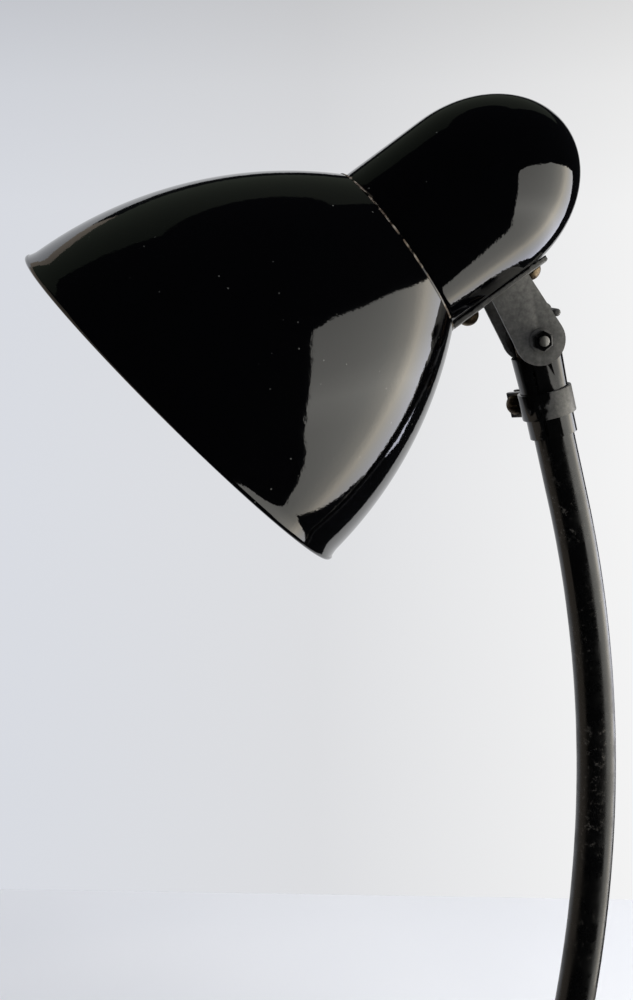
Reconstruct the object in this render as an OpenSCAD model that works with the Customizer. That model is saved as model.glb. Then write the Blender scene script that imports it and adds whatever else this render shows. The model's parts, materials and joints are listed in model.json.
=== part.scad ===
// Enamelled desk lamp: bell shade on a domed lampholder cover, a bolted
// swivel knuckle, a bow shaped tube arm and a round weighted base.
// Millimetres, +Z up, origin at the centre of the base's resting face.

/* [Arm] */
// Outer diameter of the arm tube
arm_d = 16; // [12:0.5:22]
// Wall of the arm tube
arm_wall = 1.5; // [1:0.1:2.5]
// Centreline radius of the bow
bow_r = 425; // [300:5:600]
// Lean of the top of the arm from the vertical, degrees
top_lean = 16.4; // [8:0.2:24]
// Lean of the arm where the bow meets the foot bend, degrees
foot_lean = 16; // [6:0.5:24]
// Straight length from the end of the bow to the pivot bolt
top_straight = 66; // [50:1:100]
// Centreline radius of the foot bend
foot_bend_r = 70; // [40:1:110]

/* [Base] */
// Diameter of the base
base_d = 180; // [160:1:240]
// Height of the base at its crown
base_h = 22; // [20:1:34]
// Height of the base's edge
band_h = 14; // [13:0.5:17]
// Wall of the base casting
base_wall = 6; // [4:0.5:8]
// Distance of the arm's foot from the base's edge
foot_inset = 45; // [45:1:55]
// Distance of the switch from the base's edge
switch_inset = 44; // [44:1:56]
// Thickness of the felt under the base
felt_t = 2; // [1:0.5:3]
// Width of the casting's resting edge
edge_w = 27; // [22:1:28]

/* [Knuckle] */
// Wall of the knuckle sleeve
sleeve_wall = 1.25; // [0.8:0.05:2]
// Length of the sleeve below the pivot bolt
sleeve_drop = 39; // [34:0.5:50]
// How far the sleeve flares out by the pivot bolt
knuckle_flare = 0.8; // [0.4:0.1:2]
// How much the flat cheeks take off the sleeve's diameter
cheek_flat = 1.4; // [0.8:0.1:2]
// Height of the clamp band
clamp_h = 10.5; // [8:0.5:12]
// Distance of the clamp band's top below the pivot bolt
clamp_drop = 20.5; // [18:0.5:22]
// Sheet thickness of the clamp band
clamp_t = 1.3; // [1:0.1:2]
// Diameter of the pivot bolt
bolt_d = 4; // [3:0.5:5]

/* [Saddle] */
// Sheet thickness of the saddle bracket
saddle_t = 1.6; // [1.2:0.1:2.2]
// Length of the saddle plate
saddle_l = 43; // [38:1:50]
// How far the saddle plate stands out beyond each ear
saddle_edge = 1.45; // [0.8:0.05:4]
// Radius of the ears' round ends
ear_r = 9.8; // [9:0.1:12]
// Distance of the pivot bolt below the cover's wall
ear_drop = 23.6; // [22:0.1:32]
// Diameter of the saddle screws
saddle_screw_d = 4; // [3:0.5:4.5]

/* [Lampholder cover] */
// Outer radius of the cover
cover_r = 34.8; // [31:0.1:42]
// Length of the cover's straight part
cover_l = 36.2; // [32:0.2:50]
// Length of the cover's domed end
dome_l = 43.8; // [34:0.2:54]
// Sheet thickness of the cover and the shade
sheet_t = 1; // [0.8:0.1:1.4]
// Distance of the pivot bolt behind the cover's open end
pivot_t = 25.6; // [22:0.2:27]

/* [Shade] */
// How far the shade's collar stands proud of the cover (mm)
neck_step = 0.8; // [0.4:0.1:2]
// Radius of the arc that the shade's side follows
shade_arc_r = 164; // [150:1:200]
// Distance from the neck to the shade's widest section
shade_belly = 110.5; // [100:0.5:124]
// Distance from the neck to the mouth, along the axis
mouth_s = 99.5; // [92:0.5:120]
// Angle of the mouth's plane from square, degrees
mouth_cut = 8.5; // [0:0.2:14]
// Diameter of the rolled rim
rim_d = 3; // [2:0.1:4]

/* [Rest pose] */
// Angle of the cover's axis from the sleeve's cross direction, degrees
head_tilt = 21.5; // [0:0.1:45]
// Turn of the head about the top of the arm, degrees
head_swivel = -23.7; // [-90:0.1:90]

/* [Lampholder and bulb] */
// Radius of the lampholder's shell
holder_r = 19; // [17.5:0.1:20.5]
// Length of the lampholder behind the shade's neck
holder_l = 45; // [40:0.5:48]
// Outer radius of the screw cap on the bulb
cap_r = 13.1; // [12:0.1:13.6]
// Radius of the bulb's globe
globe_r = 30; // [22:0.5:32]
// Distance of the globe's centre in front of the neck
globe_s = 56; // [50:1:60]

/* [Hidden] */
$fn = 64;
steps = 28;         // points along each curved outline
cut = 0.01;         // overshoot that keeps cuts clean
fit = 0.05;         // running fit, on the radius
play = 0.3;         // gap between pieces that pass each other
touch = 0.02;       // gap between pieces that are screwed together

black = [0.03, 0.03, 0.035];
iron = [0.16, 0.16, 0.16];
steel = [0.5, 0.5, 0.5];
brass = [0.7, 0.55, 0.3];
brown = [0.24, 0.13, 0.08];
cream = [0.9, 0.88, 0.82];

arm_r = arm_d / 2;
lap = 0.1;          // extra radius of a stretch that laps the next
lap_l = 1.5;        // length of that lap
arm_foot_r = arm_r + 2 * lap;
arm_top_r = arm_r + lap;
base_r = base_d / 2;
foot_x = base_r - foot_inset;
switch_x = base_r - switch_inset;
sleeve_in = arm_top_r + fit;
sleeve_r = sleeve_in + sleeve_wall;
knuckle_r = sleeve_r + knuckle_flare;
knuckle_in = knuckle_r - sleeve_wall;
cheek_w = 2 * sleeve_r - cheek_flat;
cheek_y = cheek_w / 2;
washer_t = 0.7;
ear_y = cheek_y + washer_t + fit;
bolt_r = bolt_d / 2;
seat_y = ear_y + saddle_t;
saddle_w = 2 * (seat_y + saddle_edge);
clamp_in = sleeve_r + touch;
clamp_r = clamp_in + clamp_t;

// Arm path, from the foot up
boss_h = 8;
foot_top = base_h + boss_h + 3;
foot_bottom = base_h - base_wall - 6;
bend_end = [foot_x + foot_bend_r * (1 - cos(foot_lean)), foot_top + foot_bend_r * sin(foot_lean)];
bow_c = [bend_end[0] - bow_r * cos(foot_lean), bend_end[1] + bow_r * sin(foot_lean)];
bow_end = [bow_c[0] + bow_r * cos(top_lean), bow_c[1] + bow_r * sin(top_lean)];
pivot = [bow_end[0] - top_straight * sin(top_lean), 0, bow_end[1] + top_straight * cos(top_lean)];
tube_gap = 14;      // pivot bolt to the top of the arm tube

// Head, in the cover's own frame: +X along the cover, origin at the neck
pivot_drop = cover_r + ear_drop;
saddle_x0 = 1.6;
screw_x = [saddle_x0 + 8.2, saddle_x0 + saddle_l - 5.2];
head_h = 3.4;
screw_head_r = saddle_screw_d * 1.05;
flex_hole_r = 4.6;
hole_x = pivot_t + 1.8;
neck_r = cover_r + sheet_t + neck_step;
arc_k = sqrt(pow(shade_arc_r, 2) - pow(shade_belly, 2)) - neck_r;
function shade_r(s) = sqrt(pow(shade_arc_r, 2) - pow(shade_belly - s, 2)) - arc_k;
mouth_top = [mouth_s + shade_r(mouth_s) * tan(mouth_cut), shade_r(mouth_s + shade_r(mouth_s) * tan(mouth_cut))];
mouth_low = [mouth_s - shade_r(mouth_s) * tan(mouth_cut), shade_r(mouth_s - shade_r(mouth_s) * tan(mouth_cut))];
mouth_mid = [(mouth_top[0] + mouth_low[0]) / 2, (mouth_top[1] - mouth_low[1]) / 2];
mouth_r = norm([mouth_top[0] - mouth_low[0], mouth_top[1] + mouth_low[1]]) / 2 - sheet_t / 2;
mouth_angle = atan2(mouth_top[0] - mouth_low[0], mouth_top[1] + mouth_low[1]);
web_r = holder_r + 1.2;

// ---- placing ----
module at_neck() {
  translate(pivot) rotate([0, -top_lean, 0]) rotate([0, 0, head_swivel]) children();
}
module at_head() {
  at_neck() rotate([0, -head_tilt, 0]) translate([-pivot_t, 0, pivot_drop]) children();
}
// Turns a body of revolution about Z onto the cover's axis
module along_cover() {
  rotate([0, 90, 0]) children();
}
module tube(r, inner, h) {
  difference() {
    cylinder(r = r, h = h);
    translate([0, 0, -1]) cylinder(r = inner, h = h + 2);
  }
}
// A domed screw head with a slot, its seat at z = 0
module domed_head(r, h, slot = 0.9) {
  ball = (r * r + h * h) / (2 * h);
  difference() {
    intersection() {
      translate([0, 0, h - ball]) sphere(r = ball);
      cylinder(r = r, h = h);
    }
    translate([-r, -slot / 2, h * 0.55]) cube([2 * r, slot, h]);
  }
}
module hex(af, h) {
  cylinder(r = af / 2 / cos(30), h = h, $fn = 6);
}

// ---- base ----
crown_r = base_r * 0.72;
function crown_z(r) = r < crown_r ? base_h : base_h - (base_h - band_h) * pow((r - crown_r) / (base_r - crown_r - 1), 2);
boss_r = arm_foot_r + 7;
felt_r = base_r - 4;
felt_hole_r = 5;
recess_r = base_r - edge_w;
hollow_r = recess_r - 3;
plate_t = 1.5;
plate_r = recess_r - play;
ledge_h = 3;
post_r = 5;
post_gap = 2;        // post to the hollow's wall
post_ring = hollow_r - post_gap - post_r;
plate_screw_d = 3.5;
post_angles = [90, 210, 330];
inlet_r = 3;
inlet_z = felt_t + ledge_h + inlet_r + 0.6;
hollow_top = base_h - base_wall;

module base_casting() {
  color(black) difference() {
    union() {
      rotate_extrude() polygon(concat(
        [[0, felt_t], [base_r - 1, felt_t], [base_r, felt_t + 1], [base_r, band_h - 1.5]],
        [for (i = [0 : steps]) let (r = base_r - 1 - (base_r - 1 - crown_r) * i / steps)
          [r, crown_z(r)]],
        [[0, base_h]]
      ));
      translate([foot_x, 0, base_h - 1]) cylinder(r1 = boss_r + 2, r2 = boss_r, h = boss_h - 2);
    }
    difference() {
      union() {
        translate([0, 0, felt_t - 1]) cylinder(r = recess_r, h = ledge_h + 1);
        translate([0, 0, felt_t]) cylinder(r = hollow_r, h = hollow_top - felt_t);
      }
      for (a = post_angles) rotate(a) translate([post_ring, 0, felt_t + ledge_h]) {
        cylinder(r = post_r, h = base_h);
      }
    }
    for (a = post_angles) rotate(a) translate([post_ring, 0, felt_t]) {
      cylinder(r = plate_screw_d / 2 + touch, h = ledge_h + 7);
    }
    translate([foot_x, 0, 0]) cylinder(r = arm_foot_r + touch, h = base_h + boss_h + 1);
    translate([-switch_x, 0, 0]) cylinder(r = switch_bush_r + touch, h = base_h + 2);
    translate([base_r + 5, 0, inlet_z]) rotate([0, -90, 0]) cylinder(r = inlet_r, h = base_r - hollow_r + 8);
  }
}
// Felt disc with an access hole over each plate screw
module base_felt() {
  color([0.12, 0.2, 0.14]) difference() {
    cylinder(r = felt_r, h = felt_t);
    for (a = post_angles) rotate(a) translate([post_ring, 0, -1]) cylinder(r = felt_hole_r, h = felt_t + 2);
  }
}
module base_plate() {
  color(steel) difference() {
    translate([0, 0, felt_t + ledge_h - plate_t]) cylinder(r = plate_r, h = plate_t);
    for (a = post_angles) rotate(a) translate([post_ring, 0, 0]) cylinder(r = plate_screw_d / 2 + 0.2, h = base_h);
  }
}
module plate_screws() {
  color(steel) for (a = post_angles) rotate(a) translate([post_ring, 0, felt_t + ledge_h - plate_t]) {
    cylinder(r = plate_screw_d / 2, h = plate_t + 6);
    rotate([180, 0, 0]) domed_head(plate_screw_d * 0.9, 1.4);
  }
}
// Screwed collar that covers the joint between arm and base
module arm_ferrule() {
  color(black) translate([foot_x, 0, base_h + boss_h - 3]) rotate_extrude() polygon([
    [arm_foot_r + touch, 0], [boss_r - 0.6, 0], [boss_r - 0.2, 0.8], [boss_r - 0.2, 3], [boss_r - 1.4, 4.4],
    [arm_foot_r + 2, 5.4], [arm_foot_r + touch, 5.4]
  ]);
}
module arm_washer() {
  color(steel) translate([foot_x, 0, hollow_top - 1.2]) tube(arm_foot_r + 4.5, arm_foot_r + touch, 1.2);
}
module arm_nut() {
  color(steel) difference() {
    translate([foot_x, 0, hollow_top - 5.2]) hex(2 * arm_foot_r + 6.6, 4);
    translate([foot_x, 0, hollow_top - 6]) cylinder(r = arm_foot_r + touch, h = 6);
  }
}
module cord_bush() {
  color(brown) translate([base_r + 1.6, 0, inlet_z]) rotate([0, -90, 0]) {
    tube(inlet_r - touch, 2.1, base_r - hollow_r + 2);
    tube(inlet_r + 1, 2.1, 1.5);
  }
}

// ---- switch on the base ----
switch_r = 11;
switch_bush_r = 5;
shaft_r = 2;
knob_r = 8;
knob_h = 9;
switch_h = hollow_top - felt_t - ledge_h - 2;
module switch_body() {
  color(brown) translate([-switch_x, 0, hollow_top - switch_h]) difference() {
    union() {
      cylinder(r = switch_r, h = switch_h);
      cylinder(r = switch_bush_r, h = switch_h + base_wall + 3);
    }
    translate([0, 0, switch_h - 4]) cylinder(r = shaft_r + fit, h = base_wall + 8);
  }
}
module switch_ring() {
  color(steel) translate([-switch_x, 0, base_h]) difference() {
    cylinder(r = switch_bush_r + 2.6, h = 2);
    translate([0, 0, -1]) cylinder(r = switch_bush_r + touch, h = 4);
    for (a = [0 : 45 : 315]) rotate(a) translate([switch_bush_r + 2.8, 0, -1]) cylinder(r = 0.6, h = 4);
  }
}
// Knurled knob with a raised finger bar and its shaft
module switch_knob() {
  color(brown) translate([-switch_x, 0, base_h + 3 + play]) difference() {
    union() {
      rotate_extrude() polygon([
        [0, 0], [knob_r - 0.6, 0], [knob_r, 0.6], [knob_r, 2.6], [knob_r - 1.4, 4], [0, 4.4]
      ]);
      translate([-knob_r + 1.2, -1.6, 2]) cube([2 * knob_r - 2.4, 3.2, knob_h - 2]);
      translate([0, 0, -base_wall - play - 3]) cylinder(r = shaft_r, h = base_wall + play + 5);
    }
    for (a = [0 : 20 : 340]) rotate(a) translate([knob_r + 0.25, 0, -1]) cylinder(r = 0.55, h = 4.4, $fn = 16);
  }
}
block = [16, 10, 8];
module terminal_block() {
  color(cream) difference() {
    translate([-block[0] / 2, -block[1] / 2, felt_t + ledge_h + touch]) cube(block);
    for (x = [-4, 4]) translate([x, -block[1], felt_t + ledge_h + 3]) rotate([-90, 0, 0]) {
      cylinder(r = 1.6, h = 2 * block[1]);
    }
    for (x = [-4, 4], y = [-2.5, 2.5]) translate([x, y, felt_t + ledge_h + 3]) cylinder(r = 1.25, h = block[2]);
  }
}
module terminal_screws() {
  color(brass) for (x = [-4, 4], y = [-2.5, 2.5]) translate([x, y, felt_t + ledge_h + 4.7]) {
    difference() {
      cylinder(r = 1.2, h = 3);
      translate([-1.5, -0.25, 2.3]) cube([3, 0.5, 1]);
    }
  }
}

// ---- arm ----
// A round rod along the arm's centreline. Neighbouring stretches lap by
// lap_l, each a hair thicker than the next, so that they join cleanly.
module arm_path(r, from, to) {
  bend_lap = lap_l / foot_bend_r * 180 / PI;
  translate([foot_x, 0, from]) cylinder(r = r + 2 * lap, h = foot_top + lap_l - from);
  translate([foot_x + foot_bend_r, 0, foot_top]) rotate([90, 0, 0]) rotate([0, 0, 180 - foot_lean - bend_lap]) {
    rotate_extrude(angle = foot_lean + bend_lap) translate([foot_bend_r, 0]) circle(r = r + lap);
  }
  translate([bow_c[0], 0, bow_c[1]]) rotate([90, 0, 0]) rotate([0, 0, -foot_lean]) {
    rotate_extrude(angle = foot_lean + top_lean, $fn = 180) translate([bow_r, 0]) circle(r = r);
  }
  translate([bow_end[0], 0, bow_end[1]]) rotate([0, -top_lean, 0]) translate([0, 0, -lap_l]) {
    cylinder(r = r + lap, h = top_straight - to + lap_l);
  }
}
module arm_tube() {
  color(black) difference() {
    arm_path(arm_r, foot_bottom, tube_gap);
    arm_path(arm_r - arm_wall, foot_bottom - 1, tube_gap - 1);
  }
}
module arm_flex() {
  color(brown) arm_path(3, foot_bottom + 1, tube_gap + 1);
}

// ---- knuckle ----
// Round sleeve below, flattened and flared between the ears above
module knuckle_outer(grow) {
  intersection() {
    union() {
      translate([0, 0, -clamp_drop]) cylinder(r1 = sleeve_r - grow, r2 = knuckle_r - grow, h = clamp_drop);
      cylinder(r = knuckle_r - grow, h = knuckle_r);
      translate([0, 0, -sleeve_drop]) cylinder(r = sleeve_r - grow, h = sleeve_drop - clamp_drop);
    }
    union() {
      translate([-20, -cheek_y + grow, -clamp_drop]) cube([40, cheek_w - 2 * grow, 2 * clamp_drop]);
      translate([-20, -20, -sleeve_drop - 1]) cube([40, 40, sleeve_drop + 1 - clamp_drop]);
    }
    union() {
      rotate([90, 0, 0]) cylinder(r = knuckle_r, h = 40, center = true);
      translate([-20, -20, -sleeve_drop - 1]) cube([40, 40, sleeve_drop + 1]);
    }
  }
}
slit_w = 0.8;
module knuckle_sleeve() {
  color(iron) at_neck() difference() {
    knuckle_outer(0);
    intersection() {
      union() {
        translate([0, 0, -tube_gap]) cylinder(r1 = sleeve_in, r2 = knuckle_in, h = tube_gap);
        cylinder(r = knuckle_in, h = 2 * knuckle_r);
        translate([0, 0, -sleeve_drop - 1]) cylinder(r = sleeve_in, h = sleeve_drop + 2 - tube_gap);
      }
      union() {
        translate([-20, -cheek_y + sleeve_wall, -tube_gap + 2]) cube([40, cheek_w - 2 * sleeve_wall, 2 * clamp_drop]);
        translate([-20, -20, -sleeve_drop - 2]) cube([40, 40, sleeve_drop + 2 - tube_gap + play]);
        translate([0, 0, -tube_gap - 1]) cylinder(r = cheek_y - sleeve_wall, h = 4);
      }
    }
    translate([-30, -cheek_y + sleeve_wall, -6]) cube([30 - knuckle_r * 0.45, cheek_w - 2 * sleeve_wall, 40]);
    translate([-knuckle_r * 0.45 - slit_w / 2, -30, -sleeve_drop - 1]) cube([slit_w, 30, sleeve_drop - 10]);
    rotate([90, 0, 0]) cylinder(r = bolt_r + fit, h = 40, center = true);
  }
}
lug_turn = -59;     // where the clamp band opens, from the front of the knuckle
lug_gap = 2.4;
lug_t = 1.8;
clamp_head_r = 4.1;
lug_l = clamp_head_r + 3.4;
clamp_screw_r = 1.75;
clamp_x = clamp_r + clamp_head_r + play / 2;
clamp_z = -clamp_drop - clamp_h / 2;
module at_clamp() {
  at_neck() rotate([0, 0, 180 + lug_turn]) translate([0, 0, clamp_z]) children();
}
module clamp_band() {
  color(iron) at_clamp() difference() {
    union() {
      translate([0, 0, -clamp_h / 2]) cylinder(r = clamp_r, h = clamp_h);
      translate([clamp_in, -lug_gap / 2 - lug_t, -clamp_h / 2]) {
        cube([clamp_r - clamp_in + lug_l, lug_gap + 2 * lug_t, clamp_h]);
      }
    }
    translate([0, 0, -clamp_h]) cylinder(r = clamp_in, h = 2 * clamp_h);
    translate([0, -lug_gap / 2, -clamp_h]) cube([40, lug_gap, 2 * clamp_h]);
    translate([clamp_x, 0, 0]) rotate([90, 0, 0]) cylinder(r = clamp_screw_r + touch, h = 20, center = true);
  }
}
module clamp_screw() {
  color(brown) at_clamp() translate([clamp_x, lug_gap / 2 + lug_t, 0]) {
    rotate([-90, 0, 0]) domed_head(clamp_head_r, 2.8, 1.1);
    rotate([90, 0, 0]) cylinder(r = clamp_screw_r, h = lug_gap + 2 * lug_t + 4.4);
  }
}
module clamp_nut() {
  color(steel) at_clamp() translate([clamp_x, -lug_gap / 2 - lug_t, 0]) rotate([90, 0, 0]) difference() {
    hex(6, 2.8);
    translate([0, 0, -1]) cylinder(r = clamp_screw_r + touch, h = 6);
  }
}
module friction_washers() {
  color(steel) at_neck() for (side = [0, 1]) mirror([0, side, 0]) translate([0, cheek_y, 0]) rotate([-90, 0, 0]) {
    tube(knuckle_r - 1.6, bolt_r + fit, washer_t);
  }
}
module pivot_spacer() {
  color(steel) at_neck() translate([0, -cheek_y + sleeve_wall + touch, 0]) rotate([-90, 0, 0]) {
    tube(bolt_r + 1.2, bolt_r + fit, cheek_w - 2 * sleeve_wall - 2 * touch);
  }
}
// Lead from the top of the arm to the grommet in the saddle
joint_flex_r = 2;
joint_flex_x = -(bolt_r + 1.2 + joint_flex_r + 0.6);
joint_flex_low = -tube_gap + 2.4;
joint_flex_top = (ear_drop - saddle_t - 1.8 + (joint_flex_x - joint_flex_r) * sin(head_tilt)) / cos(head_tilt);
module joint_flex() {
  color(brown) at_neck() translate([joint_flex_x, 0, joint_flex_low]) {
    cylinder(r = joint_flex_r, h = joint_flex_top - joint_flex_low);
  }
}

// ---- pivot, turning with the head ----
nut_af = bolt_d * 1.75;
nut_h = bolt_d * 0.8;
pivot_washer_t = 0.8;
module at_pivot() {
  at_head() translate([pivot_t, 0, -pivot_drop]) children();
}
module pivot_bolt() {
  color(steel) at_pivot() {
    translate([0, seat_y + pivot_washer_t, 0]) rotate([-90, 0, 0]) domed_head(bolt_d, 2.8, 1);
    translate([0, seat_y + pivot_washer_t, 0]) rotate([90, 0, 0]) {
      cylinder(r = bolt_r, h = 2 * seat_y + 2 * pivot_washer_t + nut_h + 1.2);
    }
  }
}
module pivot_nut() {
  color(iron) at_pivot() translate([0, -seat_y - pivot_washer_t, 0]) rotate([90, 0, 0]) difference() {
    hex(nut_af, nut_h);
    translate([0, 0, -1]) cylinder(r = bolt_r + touch, h = nut_h + 2);
  }
}
module pivot_washers() {
  color(iron) at_pivot() for (side = [0, 1]) mirror([0, side, 0]) translate([0, seat_y, 0]) rotate([-90, 0, 0]) {
    tube(bolt_d * 1.12, bolt_r + touch, pivot_washer_t);
  }
}
pin_r = 1.5;
pin_at = [ear_r + 1.9, 4.4];
module stop_pin() {
  color(steel) at_pivot() translate([pin_at[0], 0, pin_at[1]]) {
    translate([0, seat_y + 0.8, 0]) rotate([90, 0, 0]) cylinder(r = pin_r, h = seat_y + cheek_y);
    translate([0, 0.8 - cheek_y, 0]) rotate([90, 0, 0]) cylinder(r1 = pin_r, r2 = pin_r * 0.6, h = pin_r * 0.4);
  }
}

// ---- saddle ----
neck_front = 6.6;
neck_back = 10.1;
ear_top = ear_drop + cover_r - sqrt(pow(cover_r + saddle_t / 2, 2) - pow(seat_y, 2));
// One folded-down ear; the far one is widened to hold the stop pin
module ear(pinned) {
  translate([0, seat_y, 0]) rotate([90, 0, 0]) linear_extrude(saddle_t) {
    circle(r = ear_r);
    polygon([[-ear_r, 0], [-neck_front, ear_top], [neck_back, ear_top], [ear_r, 0]]);
    if (pinned) translate(pin_at) circle(r = pin_r + 1.6);
  }
}
module saddle_bracket() {
  color(iron) difference() {
    union() {
      at_head() intersection() {
        translate([saddle_x0, 0, 0]) along_cover() tube(cover_r + saddle_t + touch, cover_r + touch, saddle_l);
        translate([0, -saddle_w / 2, -2 * cover_r]) cube([saddle_l + 10, saddle_w, 1.5 * cover_r]);
      }
      at_pivot() {
        ear(true);
        mirror([0, 1, 0]) ear(false);
      }
    }
    at_pivot() rotate([90, 0, 0]) cylinder(r = bolt_r + touch, h = 60, center = true);
    at_pivot() translate([pin_at[0], 40, pin_at[1]]) rotate([90, 0, 0]) cylinder(r = pin_r + touch, h = 40);
    at_head() for (x = screw_x) translate([x, 0, -cover_r - 8]) cylinder(r = saddle_screw_d / 2 + touch, h = 16);
    at_head() translate([hole_x, 0, -cover_r - 8]) cylinder(r = flex_hole_r, h = 16);
  }
}
bracket_t = 1.5;
strap_in = cover_r - sheet_t - bracket_t;
// Height of the flat seats cut into the strap for the nuts
nut_z = -strap_in + 0.1;
module saddle_screws() {
  color(brown) at_head() for (x = screw_x) translate([x, 0, -cover_r - saddle_t - touch]) {
    rotate([180, 0, 0]) domed_head(screw_head_r, head_h, 0.9);
    cylinder(r = saddle_screw_d / 2, h = saddle_t + sheet_t + bracket_t + 4);
  }
}
module saddle_nuts() {
  color(steel) at_head() for (x = screw_x) translate([x, 0, nut_z]) difference() {
    hex(saddle_screw_d * 1.75, 2.4);
    translate([0, 0, -1]) cylinder(r = saddle_screw_d / 2 + touch, h = 5);
  }
}
module flex_grommet() {
  color(black) at_head() translate([hole_x, 0, -cover_r - saddle_t - 1.2]) {
    tube(flex_hole_r + 1.3, flex_hole_r - 1, 1);
    tube(flex_hole_r - touch, flex_hole_r - 1, saddle_t + sheet_t + bracket_t + 1.6);
  }
}

// ---- cover, shade and lampholder ----
function dome_pts(r, l) = [for (i = [0 : steps]) [r * cos(90 * i / steps), cover_l + l * sin(90 * i / steps)]];
module lampholder_cover() {
  inner = cover_r - sheet_t;
  color(black) at_head() difference() {
    along_cover() rotate_extrude() polygon(concat(
      [[inner, 0], [cover_r, 0]],
      dome_pts(cover_r, dome_l),
      [for (i = [steps : -1 : 0]) dome_pts(inner, dome_l - sheet_t)[i]]
    ));
    for (x = screw_x) translate([x, 0, -cover_r - 8]) cylinder(r = saddle_screw_d / 2 + touch, h = 16);
    translate([hole_x, 0, -cover_r - 8]) cylinder(r = flex_hole_r, h = 16);
  }
}
// Strap along the cover's floor, bent up behind the lampholder
strap_w = 16;
disc_r = 14;
nipple_r = 5;
// The space inside the cover, drawn in by gap
module cover_inside(gap) {
  r = cover_r - sheet_t - gap;
  along_cover() rotate_extrude() polygon(concat([[0, 0], [r, 0]], dome_pts(r, dome_l - sheet_t - gap)));
}
module lampholder_bracket() {
  color(steel) at_head() difference() {
    union() {
      difference() {
        intersection() {
          cover_inside(touch);
          translate([screw_x[0] - 4, -strap_w / 2, -cover_r]) {
            cube([holder_l + bracket_t - screw_x[0] + 4, strap_w, cover_r / 2]);
          }
        }
        cover_inside(bracket_t);
      }
      intersection() {
        cover_inside(touch);
        translate([holder_l, -strap_w / 2, -cover_r]) cube([bracket_t, strap_w, cover_r]);
      }
      translate([holder_l, 0, 0]) along_cover() cylinder(r = disc_r, h = bracket_t);
    }
    for (x = screw_x) translate([x, 0, -cover_r - 8]) cylinder(r = saddle_screw_d / 2 + touch, h = 20);
    for (x = screw_x) translate([x, 0, nut_z - touch]) cylinder(r = saddle_screw_d * 1.1, h = 4);
    translate([hole_x, 0, -cover_r - 8]) cylinder(r = flex_hole_r, h = 16);
    translate([holder_l - 1, 0, 0]) along_cover() cylinder(r = nipple_r + touch, h = bracket_t + 2);
  }
}
module shade_section() {
  polygon(concat(
    [[web_r, 0], [cover_r + touch, 0], [cover_r + touch, 0.9], [neck_r, 0.9]],
    [for (i = [0 : steps]) let (s = (mouth_top[0] + 6) * i / steps) [shade_r(s), -s]],
    [for (i = [steps : -1 : 1]) let (s = sheet_t + (mouth_top[0] + 6 - sheet_t) * i / steps)
      [shade_r(s) - sheet_t, -s]],
    [[cover_r - 1, -sheet_t], [web_r, -sheet_t]]
  ));
}
module at_mouth() {
  at_head() translate([-mouth_mid[0], 0, mouth_mid[1]]) rotate([0, -90 - mouth_angle, 0]) children();
}
// Sheet bell with its edge rolled outward round the mouth
rim_lap = 1.1;
module shade() {
  color(black) {
    difference() {
      at_head() along_cover() rotate_extrude($fn = 96) shade_section();
      at_mouth() cylinder(r = 2 * mouth_r, h = 60);
    }
    at_mouth() rotate_extrude($fn = 96) translate([mouth_r, rim_d / 2 - rim_lap]) circle(r = rim_d / 2, $fn = 24);
  }
}
shoulder_r = holder_r + 3.4;
thread_in = cap_r + 0.35;
thread_out = thread_in + 0.5;
skirt_l = 11;
module lampholder_shell() {
  color(brown) at_head() along_cover() rotate_extrude() polygon([
    [thread_out + 0.8, -skirt_l], [holder_r, -skirt_l], [holder_r, touch], [shoulder_r, touch],
    [shoulder_r, 5], [holder_r + 1, 7], [holder_r, 12], [holder_r - 1, holder_l - 7],
    [holder_r - 6, holder_l - 1.5], [nipple_r + 2, holder_l - touch],
    [nipple_r - 1.2, holder_l - touch], [nipple_r - 1.2, holder_l - 5],
    [thread_out + 0.8, holder_l - 9]
  ]);
  color(brown) at_head() translate([holder_l - touch, 0, 0]) along_cover() tube(nipple_r, nipple_r - 1.2, bracket_t + 6);
}
module lampholder_core() {
  color(cream) at_head() along_cover() translate([0, 0, 18]) tube(thread_out + 0.7, 2, 7);
}
module lampholder_thread() {
  turns = 6;
  color(brass) at_head() along_cover() rotate_extrude() polygon(concat(
    [[thread_out, -skirt_l + 1], [thread_out, 18 - touch], [thread_in - 0.6, 18 - touch]],
    [for (i = [0 : 2 * turns]) [thread_in - (i % 2) * 0.15 , 17 - i * (16 + skirt_l) / (2 * turns) * 0.95]],
    [[thread_in, -skirt_l + 1]]
  ));
}
module centre_contact() {
  color(brass) at_head() along_cover() translate([0, 0, 15.6]) {
    cylinder(r = 4, h = 0.6);
    cylinder(r = 1.4, h = 6);
  }
}
module holder_nut() {
  color(steel) at_head() translate([holder_l + bracket_t + touch, 0, 0]) along_cover() difference() {
    hex(14, 3);
    translate([0, 0, -1]) cylinder(r = nipple_r + touch, h = 5);
  }
}
module shade_ring() {
  color(brown) at_head() along_cover() translate([0, 0, -sheet_t - touch]) difference() {
    translate([0, 0, -5]) cylinder(r = shoulder_r + 1, h = 5);
    translate([0, 0, -6]) cylinder(r = holder_r + touch, h = 8);
    for (a = [0 : 18 : 342]) rotate(a) translate([shoulder_r + 1.4, 0, -6]) cylinder(r = 0.9, h = 8, $fn = 16);
  }
}
// Two cores from the nipple, turning back and down to the grommet
module holder_wires() {
  color(brown) at_head() for (y = [-1.6, 1.6]) {
    translate([holder_l + bracket_t + 2, y, 0]) along_cover() cylinder(r = 1.3, h = 8);
    translate([holder_l + bracket_t + 10, y, -5]) rotate([90, 0, 0]) rotate_extrude(angle = 90) {
      translate([5, 0]) circle(r = 1.3, $fn = 24);
    }
    translate([holder_l + bracket_t + 15, y, -13]) cylinder(r = 1.3, h = 8);
  }
}

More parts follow.
